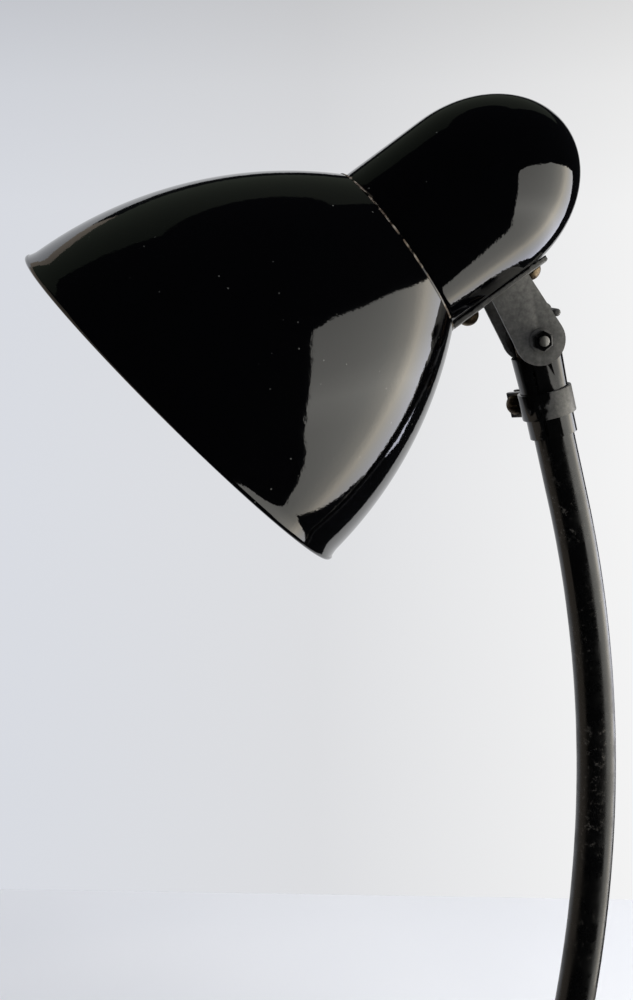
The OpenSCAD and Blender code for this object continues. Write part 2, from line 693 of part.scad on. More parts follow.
// ---- bulb ----
bulb_neck_r = cap_r - 0.6;
globe_x = -globe_s;
neck_run = 26;
module bulb_globe() {
  waist = asin(bulb_neck_r / globe_r);
  color([1, 1, 1, 0.4]) at_head() along_cover() rotate_extrude() polygon(concat(
    [for (i = [0 : steps]) let (a = -90 + i * (180 - waist - 22) / steps)
      [max(globe_r * cos(a), 0), globe_x + globe_r * sin(a)]],
    [[bulb_neck_r, -skirt_l - 6], [bulb_neck_r, -skirt_l - 1]],
    [[bulb_neck_r - 1, -skirt_l - 1], [bulb_neck_r - 1, -skirt_l - 6]],
    [for (i = [steps : -1 : 0]) let (a = -90 + i * (180 - waist - 22) / steps)
      [max((globe_r - 1) * cos(a), 0), globe_x + (globe_r - 1) * sin(a)]]
  ));
}
module bulb_cap() {
  color(brass) at_head() along_cover() rotate_extrude() polygon([
    [bulb_neck_r + touch, -skirt_l - 4], [cap_r, -skirt_l - 4], [cap_r, 8], [4.6, 12.4],
    [4.6, 11.4], [bulb_neck_r + touch, 7.2]
  ]);
}
module bulb_tip() {
  color(steel) at_head() along_cover() translate([0, 0, 11.4]) {
    cylinder(r = 4.5, h = 2);
    translate([0, 0, 2]) cylinder(r1 = 3.4, r2 = 2, h = 2.1);
  }
}
module bulb_filament() {
  color(steel) at_head() along_cover() {
    translate([0, 0, -globe_s + 4]) cylinder(r = 1.6, h = globe_s - 4 + 10);
    translate([0, 0, 4]) cylinder(r1 = 3, r2 = bulb_neck_r - 1.1, h = 2.4);
    for (side = [-1, 1]) translate([side * 6, 0, -globe_s]) cylinder(r = 0.4, h = 24);
    translate([-6, 0, -globe_s]) rotate([0, 90, 0]) cylinder(r = 0.5, h = 12);
    translate([-6, 0, -globe_s + 23.6]) rotate([0, 90, 0]) cylinder(r = 0.4, h = 12);
  }
}

base_casting();
base_felt();
base_plate();
plate_screws();
arm_ferrule();
arm_washer();
arm_nut();
cord_bush();
switch_body();
switch_ring();
switch_knob();
terminal_block();
terminal_screws();
arm_tube();
arm_flex();
knuckle_sleeve();
clamp_band();
clamp_screw();
clamp_nut();
friction_washers();
pivot_spacer();
joint_flex();
pivot_bolt();
pivot_nut();
pivot_washers();
stop_pin();
saddle_bracket();
saddle_screws();
saddle_nuts();
flex_grommet();
lampholder_cover();
lampholder_bracket();
shade();
lampholder_shell();
lampholder_core();
lampholder_thread();
centre_contact();
holder_nut();
shade_ring();
holder_wires();
bulb_globe();
bulb_cap();
bulb_tip();
bulb_filament();
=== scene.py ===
import bpy
import bmesh
import json
from math import cos, pi, radians, sin, sqrt, tan
from mathutils import Matrix, Vector


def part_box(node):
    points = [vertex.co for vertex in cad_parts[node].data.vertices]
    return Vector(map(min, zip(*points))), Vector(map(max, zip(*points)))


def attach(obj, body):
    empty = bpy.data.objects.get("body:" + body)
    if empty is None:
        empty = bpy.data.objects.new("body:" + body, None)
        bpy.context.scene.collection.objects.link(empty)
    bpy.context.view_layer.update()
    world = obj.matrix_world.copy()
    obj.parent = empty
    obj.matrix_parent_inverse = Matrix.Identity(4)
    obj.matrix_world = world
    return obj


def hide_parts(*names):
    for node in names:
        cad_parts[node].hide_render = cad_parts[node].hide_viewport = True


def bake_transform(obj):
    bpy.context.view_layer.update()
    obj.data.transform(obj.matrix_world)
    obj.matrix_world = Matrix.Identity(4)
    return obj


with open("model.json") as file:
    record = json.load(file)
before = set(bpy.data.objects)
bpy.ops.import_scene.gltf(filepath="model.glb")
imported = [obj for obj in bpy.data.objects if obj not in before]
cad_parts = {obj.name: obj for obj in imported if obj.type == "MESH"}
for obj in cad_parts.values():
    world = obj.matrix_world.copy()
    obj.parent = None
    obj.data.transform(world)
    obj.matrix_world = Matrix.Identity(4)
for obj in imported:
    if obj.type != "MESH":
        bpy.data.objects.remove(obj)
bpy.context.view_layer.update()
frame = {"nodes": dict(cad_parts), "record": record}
mm = 0.001


# ---- Camera ----
# Stands half a metre from the knuckle, a little below it, on the side that
# the pivot nut faces, and looks slightly down.
joints = {joint["name"]: joint for joint in frame["record"]["behaviour"]["joints"]}
pivot = Vector(joints["head_tilt"]["pos_m"])
view_turn = radians(-29.37)
view_pitch = radians(4.33)
camera_data = bpy.data.cameras.new("camera")
camera_data.sensor_width = 36
camera_data.lens = 47.4
camera = bpy.data.objects.new("camera", camera_data)
camera.location = pivot + Vector((-0.3276, -0.4097, -0.0241))
camera.rotation_euler = (pi / 2 - view_pitch, 0, view_turn)
bpy.context.scene.collection.objects.link(camera)
bpy.context.scene.camera = camera
bpy.context.scene.view_settings.view_transform = "Standard"


# ---- Studio ----
# A pale table with a pale backdrop behind it, and a broad soft window card to
# the right that the enamel mirrors. The rest of the room is dark.
def linear(hexa):
    """An sRGB hex colour as linear RGBA."""
    parts = [int(hexa[i:i + 2], 16) / 255 for i in (1, 3, 5)]
    return [c / 12.92 if c <= 0.04045 else ((c + 0.055) / 1.055) ** 2.4 for c in parts] + [1]


def add(tree, kind, inputs=None, **settings):
    """Adds one node, with its settings, and its inputs as values or links."""
    made = tree.nodes.new(kind)
    for name, value in settings.items():
        setattr(made, name, value)
    for name, value in (inputs or {}).items():
        if isinstance(value, bpy.types.NodeSocket):
            tree.links.new(value, made.inputs[name])
        else:
            made.inputs[name].default_value = value
    return made


def ramp(tree, fac, *stops):
    """A colour ramp from (position, hex or grey) stops."""
    made = add(tree, "ShaderNodeValToRGB", {"Fac": fac})
    for i, (place, value) in enumerate(stops):
        stop = made.color_ramp.elements[i] if i < 2 else made.color_ramp.elements.new(place)
        stop.position = place
        stop.color = linear(value) if isinstance(value, str) else [value] * 3 + [1]
    return made.outputs["Color"]


def mesh_piece(name, verts, faces, *materials):
    data = bpy.data.meshes.new(name)
    data.from_pydata([tuple(v) for v in verts], [], faces)
    for material in materials:
        data.materials.append(material)
    made = bpy.data.objects.new(name, data)
    bpy.context.scene.collection.objects.link(made)
    return made


def glow(name, strength, along, up=None):
    """An emitting material. along and up are (object axis, low, high, ramp stops), and they multiply."""
    made = bpy.data.materials.new(name)
    made.use_nodes = True
    tree = made.node_tree
    tree.nodes.clear()
    place = add(tree, "ShaderNodeTexCoord").outputs["Object"]
    parts = add(tree, "ShaderNodeSeparateXYZ", {"Vector": place})
    colours = []
    for axis, low, high, *stops in [along] + ([up] if up else []):
        share = add(tree, "ShaderNodeMapRange", {
            "Value": parts.outputs[axis], "From Min": low, "From Max": high,
        }).outputs["Result"]
        colours.append(ramp(tree, share, *stops))
    if up:
        both = add(tree, "ShaderNodeMix", {}, data_type="RGBA", blend_type="MULTIPLY")
        both.inputs[0].default_value = 1.0
        tree.links.new(colours[0], both.inputs[6])
        tree.links.new(colours[1], both.inputs[7])
        colours = [both.outputs[2]]
    light = add(tree, "ShaderNodeEmission", {"Color": colours[0], "Strength": strength})
    add(tree, "ShaderNodeOutputMaterial", {"Surface": light.outputs["Emission"]})
    return made


def card(name, distance, material, *rows):
    """A curved card round the lamp, seen only in reflections. Each row is (rise, left turn, right turn), in degrees."""
    verts, faces = [], []
    steps = 32
    for rise, left, right in rows:
        for i in range(steps + 1):
            a = radians(left + (right - left) * i / steps)
            verts.append(Vector((distance * sin(a), -distance * cos(a), pivot.z + distance * tan(radians(rise)))))
    for j in range(len(rows) - 1):
        for i in range(steps):
            k = j * (steps + 1) + i
            faces.append((k, k + 1, k + steps + 2, k + steps + 1))
    made = mesh_piece(name, verts, faces, material)
    made.visible_camera = False
    return made


sight = Vector((sin(-view_turn), cos(view_turn), 0))
across = Vector((cos(view_turn), sin(view_turn), 0))
ground = Vector((camera.location.x, camera.location.y, 0))
table_edge = 0.85
half = 1.2
table = mesh_piece(
    "table",
    [
        ground - sight * 0.6 - across * half, ground - sight * 0.6 + across * half,
        ground + sight * (table_edge - 0.04 * half) + across * half,
        ground + sight * (table_edge + 0.05 * half) - across * half,
    ],
    [(0, 1, 2, 3)],
)
table_paint = bpy.data.materials.new("matt_table_paint")
table_paint.use_nodes = True
table_tree = table_paint.node_tree
table_place = add(table_tree, "ShaderNodeTexCoord").outputs["Object"]
table_mottle = add(table_tree, "ShaderNodeTexNoise", {"Vector": table_place, "Scale": 3, "Detail": 2})
table_bsdf = table_tree.nodes["Principled BSDF"]
table_tree.links.new(
    ramp(table_tree, table_mottle.outputs["Fac"], (0.3, "#dfe1e4"), (0.7, "#eaebec")),
    table_bsdf.inputs["Base Color"],
)
table_bsdf.inputs["Roughness"].default_value = 0.6
table.data.materials.append(table_paint)
table.visible_glossy = False

back_at = ground + sight * 1.5
# Painted light: the backdrop glows instead of taking the lamps' light. It is brighter toward the right, with painted
# shade darker toward the top.
paper = glow(
    "glowing_backdrop_painted_light", 1.0,
    ("X", -0.38, 0.38, (0, "#d9dce3"), (0.5, "#dedfe2"), (1, "#f5f5f5")),
    ("Z", -0.1, 0.85, (0.0, 0.99), (0.35, 1.0), (0.68, 0.98), (0.82, 0.9), (1.0, 0.7)),
)
backdrop = mesh_piece(
    "backdrop", [(-1.6, 0, -0.6), (1.6, 0, -0.6), (1.6, 0, 1.6), (-1.6, 0, 1.6)], [(0, 1, 2, 3)], paper,
)
backdrop.visible_glossy = False
backdrop.matrix_world = Matrix.Translation(back_at) @ Matrix.Rotation(view_turn, 4, "Z")

window = glow(
    "daylight_window", 7.3,
    ("Y", -0.5, 0.14, (0, "#9c9b97"), (0.25, "#a5a49f"), (0.42, "#b6b3ab"), (0.54, "#dfd8ca"), (0.66, "#cfcdca"),
     (0.8, "#bfc0c6"), (1, "#b0b2c0")),
    ("Z", pivot.z - 0.6, pivot.z + 0.2, (0.0, 0.62), (0.46, 0.86), (0.6, 1.03), (0.74, 0.82), (1.0, 0.7)),
)
card(
    "window_card", 0.52, window,
    (22.5, 18, 48), (19.5, 10, 62), (15, 10, 86), (5, 12, 92), (-5, 14, 99), (-15, 17, 104), (-24, 21, 106),
    (-31, 28, 98), (-37, 33, 89), (-42, 37, 85), (-47, 40, 77), (-50, 43, 68), (-52, 47, 60),
)
paper_glow = glow("paper_beyond", 0.85, ("X", -0.2, 0.6, (0, "#d9dce2"), (1, "#f0f0f0")))
card("paper_card", 0.6, paper_glow, (32, 124, 205), (-20, 121, 205), (-60, 128, 205))
dim = glow("room_glow", 0.3, ("X", -1, 1, (0, "#6f7a6c"), (1, "#8c9486")))
card("ceiling_card", 1.0, dim, (38, 100, 225), (54, 100, 225), (70, 100, 225))
room_wall = glow("room_wall", 0.8, ("X", -1, 1, (0, "#b3a89b"), (1, "#b3a89b")))
card("left_card", 1.2, room_wall, (45, -178, -98), (-45, -178, -98))

world = bpy.data.worlds.new("dark_room")
world.use_nodes = True
world.node_tree.nodes["Background"].inputs["Color"].default_value = linear("#8f959c")
world.node_tree.nodes["Background"].inputs["Strength"].default_value = 0.03
bpy.context.scene.world = world


def lamp(name, place, aim, size, watts, colour):
    data = bpy.data.lights.new(name, "AREA")
    data.size = size
    data.energy = watts
    data.color = linear(colour)[:3]
    made = bpy.data.objects.new(name, data)
    made.location = place
    made.rotation_euler = (Vector(aim) - Vector(place)).to_track_quat("-Z", "Y").to_euler()
    made.visible_glossy = False
    bpy.context.scene.collection.objects.link(made)


lamp("overhead_soft_box", (0.2, 0.1, 1.5), (0, 0, 0), 1.4, 16, "#f4f6ff")
lamp("front_fill", (-0.9, -1.2, 0.9), (0, 0, 0.3), 1.0, 5, "#eef2ff")


# ---- Base ----
# Cast iron disc, ground and stove enamelled gloss black, with a felt disc
# glued underneath. The casting is lathe-turned; its piece is the CAD node's own mesh.
def finish_of(name, colour, roughness, metallic=0.0, coat=0.0):
    """A new material, its node tree, its shader and its object coordinates."""
    made = bpy.data.materials.new(name)
    made.use_nodes = True
    tree = made.node_tree
    shader = tree.nodes["Principled BSDF"]
    shader.inputs["Base Color"].default_value = linear(colour)
    shader.inputs["Roughness"].default_value = roughness
    shader.inputs["Metallic"].default_value = metallic
    shader.inputs["Coat Weight"].default_value = coat
    place = add(tree, "ShaderNodeTexCoord").outputs["Object"]
    return made, tree, shader, place


def grain(tree, place, size_mm, detail=2.0, rough=0.5):
    """Noise whose lumps are about size_mm across."""
    return add(tree, "ShaderNodeTexNoise", {
        "Vector": place, "Scale": 0.5 / (size_mm * mm), "Detail": detail, "Roughness": rough,
    }).outputs["Fac"]


def mix(tree, fac, first, second):
    """first where fac is 0, second where it is 1."""
    made = add(tree, "ShaderNodeMix", {}, data_type="RGBA")
    for index, value in ((0, fac), (6, first), (7, second)):
        if isinstance(value, bpy.types.NodeSocket):
            tree.links.new(value, made.inputs[index])
        else:
            made.inputs[index].default_value = value
    return made.outputs[2]


def bumps(tree, shader, *layers):
    """Stacks (height, depth in mm) bumps under the shader's normal."""
    below = None
    for height, depth in layers:
        made = add(tree, "ShaderNodeBump", {"Height": height, "Distance": depth * mm, "Strength": 1.0})
        if below:
            tree.links.new(below, made.inputs["Normal"])
        below = made.outputs["Normal"]
    tree.links.new(below, shader.inputs["Normal"])


def dust_specks(tree, place, spacing_mm, size):
    """Sparse round specks: 1 on a speck and 0 elsewhere."""
    cells = add(tree, "ShaderNodeTexVoronoi", {"Vector": place, "Scale": 1 / (spacing_mm * mm), "Randomness": 1.0})
    sparse = ramp(tree, grain(tree, place, spacing_mm * 5), (0.5, 0.0), (0.62, 1.0))
    dots = ramp(tree, cells.outputs["Distance"], (size * 0.6, 1.0), (size, 0.0))
    return add(tree, "ShaderNodeMath", {0: dots, 1: sparse}, operation="MULTIPLY").outputs[0]


def glossy_black(name, colour, roughness, peel_mm, peel_depth, chips=True):
    """Baked black finish: deep gloss, a faint orange peel, dust, and chips to rusty steel where "edge" is high."""
    made, tree, shader, place = finish_of(name, colour, roughness)
    shader.inputs["IOR"].default_value = 1.52
    specks = dust_specks(tree, place, 5.5, 0.07)
    tone = mix(tree, specks, linear(colour), linear("#5c5d58"))
    gloss = ramp(tree, grain(tree, place, 30, 3), (0.35, roughness), (0.75, roughness + 0.03))
    if chips:
        edge = add(tree, "ShaderNodeAttribute", {}, attribute_name="edge").outputs["Fac"]
        patchy = add(tree, "ShaderNodeMath", {0: grain(tree, place, 2.2, 5, 0.7), 1: edge}, operation="MULTIPLY")
        chip = ramp(tree, patchy.outputs[0], (0.47, 0.0), (0.52, 1.0))
        rust = ramp(tree, grain(tree, place, 1.2, 4), (0.35, "#3a322a"), (0.5, "#655747"), (0.68, "#9c9486"))
        tone = mix(tree, chip, tone, rust)
        gloss = mix(tree, chip, gloss, [0.65, 0.65, 0.65, 1])
    tree.links.new(tone, shader.inputs["Base Color"])
    tree.links.new(gloss, shader.inputs["Roughness"])
    bumps(
        tree, shader, (grain(tree, place, peel_mm * 9, 1), peel_depth * 4),
        (grain(tree, place, peel_mm, 2, 0.6), peel_depth),
    )
    return made


def edge_weight(piece, near):
    """Stores a weight for each point, as the attribute that chips read: mostly how near it is to a worn edge."""
    layer = piece.data.attributes.new("edge", "FLOAT", "POINT")
    for vert in piece.data.vertices:
        layer.data[vert.index].value = near(vert.co)


def smooth(piece, angle=40):
    for face in piece.data.polygons:
        face.use_smooth = True
    piece.data.set_sharp_from_angle(angle=radians(angle))


def revolve(name, outline, around, place=Matrix(), closed=True, materials=(), sides=None):
    """Turns an outline of (radius, height) points about Z. sides(i) names the material of band i."""
    verts, faces, marks = [], [], []
    count = len(outline)
    for r, h in outline:
        for j in range(around):
            a = 2 * pi * j / around
            verts.append(place @ Vector((r * cos(a), r * sin(a), h)))
    for i in range(count if closed else count - 1):
        k = (i + 1) % count
        for j in range(around):
            n = (j + 1) % around
            faces.append((i * around + j, k * around + j, k * around + n, i * around + n))
            marks.append(sides(i) if sides else 0)
    made = mesh_piece(name, verts, faces, *materials)
    for face, mark in zip(made.data.polygons, marks):
        face.material_index = mark
    tidy_shell(made)
    return made


def tidy_shell(piece):
    """Merges doubled points, drops empty faces and turns every face outwards."""
    work = bmesh.new()
    work.from_mesh(piece.data)
    bmesh.ops.remove_doubles(work, verts=work.verts, dist=1e-6)
    bmesh.ops.dissolve_degenerate(work, edges=work.edges, dist=1e-7)
    bmesh.ops.recalc_face_normals(work, faces=work.faces)
    work.to_mesh(piece.data)
    work.free()


def settle(piece, body, slot, *nodes):
    """Rides the body and stands for CAD nodes, which it hides. The slot is not used."""
    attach(piece, body)
    if nodes:
        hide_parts(*nodes)


def dressed(node, body, slot, material, bevel=0.25, angle=32, edge=None, name=None):
    """A CAD node's own mesh, merged, its hard edges broken by bevel mm, and smooth where it is round."""
    data = frame["nodes"][node].data.copy()
    data.materials.clear()
    data.materials.append(material)
    made = bpy.data.objects.new(name or node + "_piece", data)
    bpy.context.scene.collection.objects.link(made)
    work = bmesh.new()
    work.from_mesh(data)
    bmesh.ops.remove_doubles(work, verts=work.verts, dist=2e-6)
    bmesh.ops.dissolve_degenerate(work, edges=work.edges, dist=1e-6)
    bmesh.ops.dissolve_limit(
        work, angle_limit=radians(0.6), verts=work.verts, edges=work.edges, delimit={"NORMAL"},
    )
    bmesh.ops.recalc_face_normals(work, faces=work.faces)
    work.to_mesh(data)
    work.free()
    if bevel:
        edges = made.modifiers.new("broken_edges", "BEVEL")
        edges.width = bevel * mm
        edges.segments = 2
        edges.limit_method = "ANGLE"
        edges.angle_limit = radians(angle)
        edges.use_clamp_overlap = True
        edges.harden_normals = False
        bake(made)
    for face in made.data.polygons:
        face.material_index = 0
    smooth(made, angle)
    if edge:
        edge_weight(made, edge)
    settle(made, body, slot, node)
    return made


def bake(piece):
    """Applies the piece's modifiers to a plain mesh of its own."""
    bpy.context.view_layer.update()
    graph = bpy.context.evaluated_depsgraph_get()
    made = bpy.data.meshes.new_from_object(piece.evaluated_get(graph))
    piece.modifiers.clear()
    piece.data = made


base_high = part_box("base_casting")[1]


def base_edge(co):
    """The outer rim and the foot of the disc get knocked."""
    out = (Vector((co.x, co.y)).length / base_high.x - 0.97) / 0.03
    return max(0.0, min(0.8, out))


base_lacquer = glossy_black("stove_enamelled_cast_iron", "#060606", 0.1, 1.2, 0.012)
dressed("base_casting", "stand", "base_lacquer", base_lacquer, bevel=0.6, edge=base_edge)
dressed("arm_ferrule", "stand", "base_lacquer", base_lacquer, bevel=0.3, edge=lambda co: 0.5)

felt, tree, shader, place = finish_of("pressed_wool_felt", "#26382b", 0.95)
fibres = grain(tree, place, 0.35, 4, 0.8)
lint = grain(tree, place, 4, 3)
tree.links.new(mix(tree, fibres, linear("#1b2a20"), linear("#3b4d3e")), shader.inputs["Base Color"])
shader.inputs["Sheen Weight"].default_value = 0.5
shader.inputs["Sheen Roughness"].default_value = 0.6
bumps(tree, shader, (lint, 0.12), (fibres, 0.15))
dressed("base_felt", "stand", "felt", felt, bevel=0.5)


def plated(name, colour, dull, roughness, scratch_mm=3.0):
    """Zinc or nickel plated steel: cool metal with a soft bloom, fine scratches and dull stains."""
    made, tree, shader, place = finish_of(name, colour, roughness, metallic=1.0)
    stains = ramp(tree, grain(tree, place, 4, 5, 0.65), (0.42, 0.0), (0.7, 1.0))
    fine = grain(tree, place, 0.6, 3, 0.7)
    stretched = add(tree, "ShaderNodeMapping", {"Vector": place})
    stretched.inputs["Scale"].default_value = (1, 1, 12)
    lines = add(tree, "ShaderNodeTexNoise", {
        "Vector": stretched.outputs["Vector"], "Scale": 0.5 / (scratch_mm * mm), "Detail": 4,
    }).outputs["Fac"]
    tree.links.new(mix(tree, stains, linear(colour), linear(dull)), shader.inputs["Base Color"])
    tree.links.new(ramp(tree, stains, (0, roughness), (1, roughness + 0.22)), shader.inputs["Roughness"])
    bumps(tree, shader, (fine, 0.008), (lines, 0.012))
    return made


zinc = plated("zinc_plated_steel", "#a9abad", "#6f6b64", 0.3)
dressed("base_plate", "stand", "zinc_steel", zinc, bevel=0.3)
dressed("plate_screws", "stand", "zinc_steel", zinc, bevel=0.12)
dressed("arm_washer", "stand", "zinc_steel", zinc, bevel=0.12)
dressed("arm_nut", "stand", "zinc_steel", zinc, bevel=0.25)


# ---- Arm ----
# One steel tube bent at the foot and along a long bow, lacquered gloss black.
# The supply flex runs up inside it, in a woven cotton braid.
arm_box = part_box("arm_tube")
arm_d, arm_wall, bow_r, foot_bend_r = 16 * mm, 1.5 * mm, 425 * mm, 70 * mm
foot_lean, top_lean, top_straight, tube_gap = radians(16), radians(16.4), 66 * mm, 14 * mm
foot_top = 33 * mm
bow_end = Vector((pivot.x + top_straight * sin(top_lean), 0, pivot.z - top_straight * cos(top_lean)))
bow_centre = bow_end - Vector((cos(top_lean), 0, sin(top_lean))) * bow_r
bend_end = bow_centre + Vector((cos(foot_lean), 0, -sin(foot_lean))) * bow_r
bend_centre = bend_end + Vector((cos(foot_lean), 0, -sin(foot_lean))) * foot_bend_r


def arm_line(low, high):
    """Points up the arm's centre line, from height low to the distance high short of the pivot."""
    foot = Vector((bend_centre.x - foot_bend_r, 0, low))
    points = [foot, foot.lerp(Vector((foot.x, 0, foot_top)), 0.5)]
    for i in range(13):
        a = foot_lean * i / 12
        points.append(bend_centre + Vector((-cos(a), 0, sin(a))) * foot_bend_r)
    for i in range(1, 81):
        a = -foot_lean + (foot_lean + top_lean) * i / 80
        points.append(bow_centre + Vector((cos(a), 0, sin(a))) * bow_r)
    end = pivot + Vector((sin(top_lean), 0, -cos(top_lean))) * high
    return points + [bow_end.lerp(end, 0.5), end]


def sweep_tree():
    """A node tree that sweeps a round profile along edges, with an even twist."""
    tree = bpy.data.node_groups.new("round_sweep", "GeometryNodeTree")
    for name, kind in (
        ("Geometry", "NodeSocketGeometry"), ("Radius", "NodeSocketFloat"), ("Sides", "NodeSocketInt"),
        ("Step", "NodeSocketFloat"), ("Caps", "NodeSocketBool"), ("Finish", "NodeSocketMaterial"),
    ):
        tree.interface.new_socket(name, in_out="INPUT", socket_type=kind)
    tree.interface.new_socket("Geometry", in_out="OUTPUT", socket_type="NodeSocketGeometry")
    given = add(tree, "NodeGroupInput").outputs
    line = add(tree, "GeometryNodeMeshToCurve", {"Mesh": given["Geometry"]})
    even = add(tree, "GeometryNodeResampleCurve", {
        "Curve": line.outputs["Curve"], "Length": given["Step"],
    }, mode="LENGTH")
    ring = add(tree, "GeometryNodeCurvePrimitiveCircle", {"Resolution": given["Sides"], "Radius": given["Radius"]})
    skin = add(tree, "GeometryNodeCurveToMesh", {
        "Curve": even.outputs["Curve"], "Profile Curve": ring.outputs["Curve"], "Fill Caps": given["Caps"],
    })
    real = add(tree, "GeometryNodeRealizeInstances", {"Geometry": skin.outputs["Mesh"]})
    painted = add(tree, "GeometryNodeSetMaterial", {
        "Geometry": real.outputs["Geometry"], "Material": given["Finish"],
    })
    add(tree, "NodeGroupOutput", {"Geometry": painted.outputs["Geometry"]})
    return tree


round_sweep = sweep_tree()


def with_nodes(piece, tree, **inputs):
    """Adds a geometry nodes modifier with its inputs set, and applies it."""
    made = piece.modifiers.new("rule", "NODES")
    made.node_group = tree
    for socket in tree.interface.items_tree:
        if socket.in_out == "INPUT" and socket.name in inputs:
            made[socket.identifier] = inputs[socket.name]
    bake(piece)


def swept(name, points, radius, finish, sides=48, step=2.0, wall=0.0):
    """A round bar along points, or a tube with its wall inside the radius."""
    made = mesh_piece(name, points, [])
    made.data.clear_geometry()
    made.data.from_pydata([tuple(p) for p in points], [(i, i + 1) for i in range(len(points) - 1)], [])
    with_nodes(made, round_sweep, Radius=radius, Sides=sides, Step=step * mm, Caps=wall == 0, Finish=finish)
    if wall:
        shell = made.modifiers.new("wall", "SOLIDIFY")
        shell.thickness = wall
        shell.offset = -1
        shell.use_even_offset = True
        bake(made)
    tidy_shell(made)
    smooth(made, 50)
    return made


tube_lacquer, tree, shader, place = finish_of("worn_black_tube_lacquer", "#050505", 0.12)
scuffs = ramp(tree, grain(tree, place, 1.3, 5, 0.75), (0.56, 0.0), (0.68, 1.0))
patches = ramp(tree, grain(tree, place, 14, 4), (0.44, 0.0), (0.62, 1.0))
worn = add(tree, "ShaderNodeMath", {0: scuffs, 1: patches}, operation="MULTIPLY").outputs[0]
height = add(tree, "ShaderNodeSeparateXYZ", {"Vector": place}).outputs["Z"]
low_down = add(tree, "ShaderNodeMapRange", {
    "Value": height, "From Min": arm_box[1].z, "From Max": arm_box[0].z,
}).outputs["Result"]
rubbed = ramp(tree, grain(tree, place, 7, 5, 0.7), (0.4, 0.0), (0.7, 0.3))
dull = add(tree, "ShaderNodeMath", {
    0: ramp(tree, low_down, (0.1, 0.05), (0.55, 0.22)), 1: rubbed,
}, operation="ADD").outputs[0]
tree.links.new(mix(tree, worn, linear("#060606"), linear("#56524b")), shader.inputs["Base Color"])
tree.links.new(mix(tree, worn, dull, [0.55, 0.55, 0.55, 1]), shader.inputs["Roughness"])
bumps(tree, shader, (grain(tree, place, 9, 1), 0.05), (grain(tree, place, 1.3, 2), 0.006))
arm = swept("arm_tube_piece", arm_line(arm_box[0].z, tube_gap), arm_d / 2, tube_lacquer, sides=72, wall=arm_wall)
settle(arm, "stand", "tube_lacquer", "arm_tube")


def braid(name, first, second, turns_mm=0.8):
    """Two-tone cotton braid: crossed diagonal strands with fuzz, over a rubber core."""
    made, tree, shader, place = finish_of(name, first, 0.85)
    parts = add(tree, "ShaderNodeSeparateXYZ", {"Vector": place}).outputs
    strands = []
    for way in (1, -1):
        tilted = add(tree, "ShaderNodeMath", {0: parts["X"], 1: way * 0.9}, operation="MULTIPLY").outputs[0]
        tilted = add(tree, "ShaderNodeMath", {0: tilted, 1: parts["Z"]}, operation="ADD").outputs[0]
        scaled = add(tree, "ShaderNodeMath", {0: tilted, 1: pi / (turns_mm * mm)}, operation="MULTIPLY").outputs[0]
        wave = add(tree, "ShaderNodeMath", {0: scaled}, operation="SINE").outputs[0]
        strands.append(add(tree, "ShaderNodeMath", {0: wave}, operation="ABSOLUTE").outputs[0])
    woven = add(tree, "ShaderNodeMath", {0: strands[0], 1: strands[1]}, operation="MULTIPLY").outputs[0]
    fuzz = grain(tree, place, 0.3, 3, 0.8)
    tree.links.new(mix(tree, woven, linear(first), linear(second)), shader.inputs["Base Color"])
    bumps(tree, shader, (woven, 0.25), (fuzz, 0.08))
    return made


braided = braid("brown_cotton_braid", "#3b2a1c", "#7a6243")
flex = swept(
    "arm_flex_piece", arm_line(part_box("arm_flex")[0].z, tube_gap + 1 * mm), 3 * mm, braided, sides=24, step=4.0,
)
settle(flex, "stand", "braided_flex", "arm_flex")


# ---- Switch and wiring in the base ----
# Rotary switch under the disc with a moulded bakelite knob on top, held by a
# nickelled ring nut. A porcelain block joins the wires beside it.
def bakelite_of(name, colour, swirl):
    made, tree, shader, place = finish_of(name, colour, 0.22, coat=0.15)
    clouds = ramp(tree, grain(tree, place, 7, 4, 0.6), (0.4, 0.0), (0.72, 1.0))
    tree.links.new(mix(tree, clouds, linear(colour), linear(swirl)), shader.inputs["Base Color"])
    tree.links.new(ramp(tree, grain(tree, place, 3, 3), (0.35, 0.18), (0.8, 0.36)), shader.inputs["Roughness"])
    bumps(tree, shader, (grain(tree, place, 2, 2), 0.015))
    return made


bakelite = bakelite_of("moulded_brown_bakelite", "#2b150c", "#4a2a1a")
dressed("switch_body", "stand", "bakelite", bakelite, bevel=0.5)
dressed("cord_bush", "stand", "bakelite", bakelite, bevel=0.3)
dressed("switch_knob", "switch", "bakelite", bakelite, bevel=0.25)
dressed("switch_ring", "stand", "zinc_steel", zinc, bevel=0.12)

porcelain, tree, shader, place = finish_of("glazed_porcelain", "#e6e0d2", 0.16, coat=0.4)
crackle = add(tree, "ShaderNodeTexVoronoi", {"Vector": place, "Scale": 700.0}, feature="DISTANCE_TO_EDGE")
lines = ramp(tree, crackle.outputs["Distance"], (0.0, 1.0), (0.03, 0.0))
tone = mix(tree, grain(tree, place, 5, 3), linear("#ece7dc"), linear("#d6cdb9"))
tree.links.new(mix(tree, lines, tone, linear("#a89678")), shader.inputs["Base Color"])
bumps(tree, shader, (grain(tree, place, 2.5, 2), 0.03))
dressed("terminal_block", "stand", "porcelain", porcelain, bevel=0.4)


def brass_of(name, colour, tarnish, roughness, spread=0.5):
    """Brass with a brown tarnish that gathers in patches."""
    made, tree, shader, place = finish_of(name, colour, roughness, metallic=1.0)
    spots = ramp(tree, grain(tree, place, 1.6, 5, 0.7), (spread - 0.1, 0.0), (spread + 0.14, 1.0))
    tree.links.new(mix(tree, spots, linear(colour), linear(tarnish)), shader.inputs["Base Color"])
    tree.links.new(ramp(tree, spots, (0, roughness), (1, roughness + 0.25)), shader.inputs["Roughness"])
    bumps(tree, shader, (spots, 0.01), (grain(tree, place, 0.4, 2), 0.006))
    return made


brass = brass_of("turned_brass", "#b58e4a", "#6d5228", 0.28)
dressed("terminal_screws", "stand", "brass", brass, bevel=0.08)


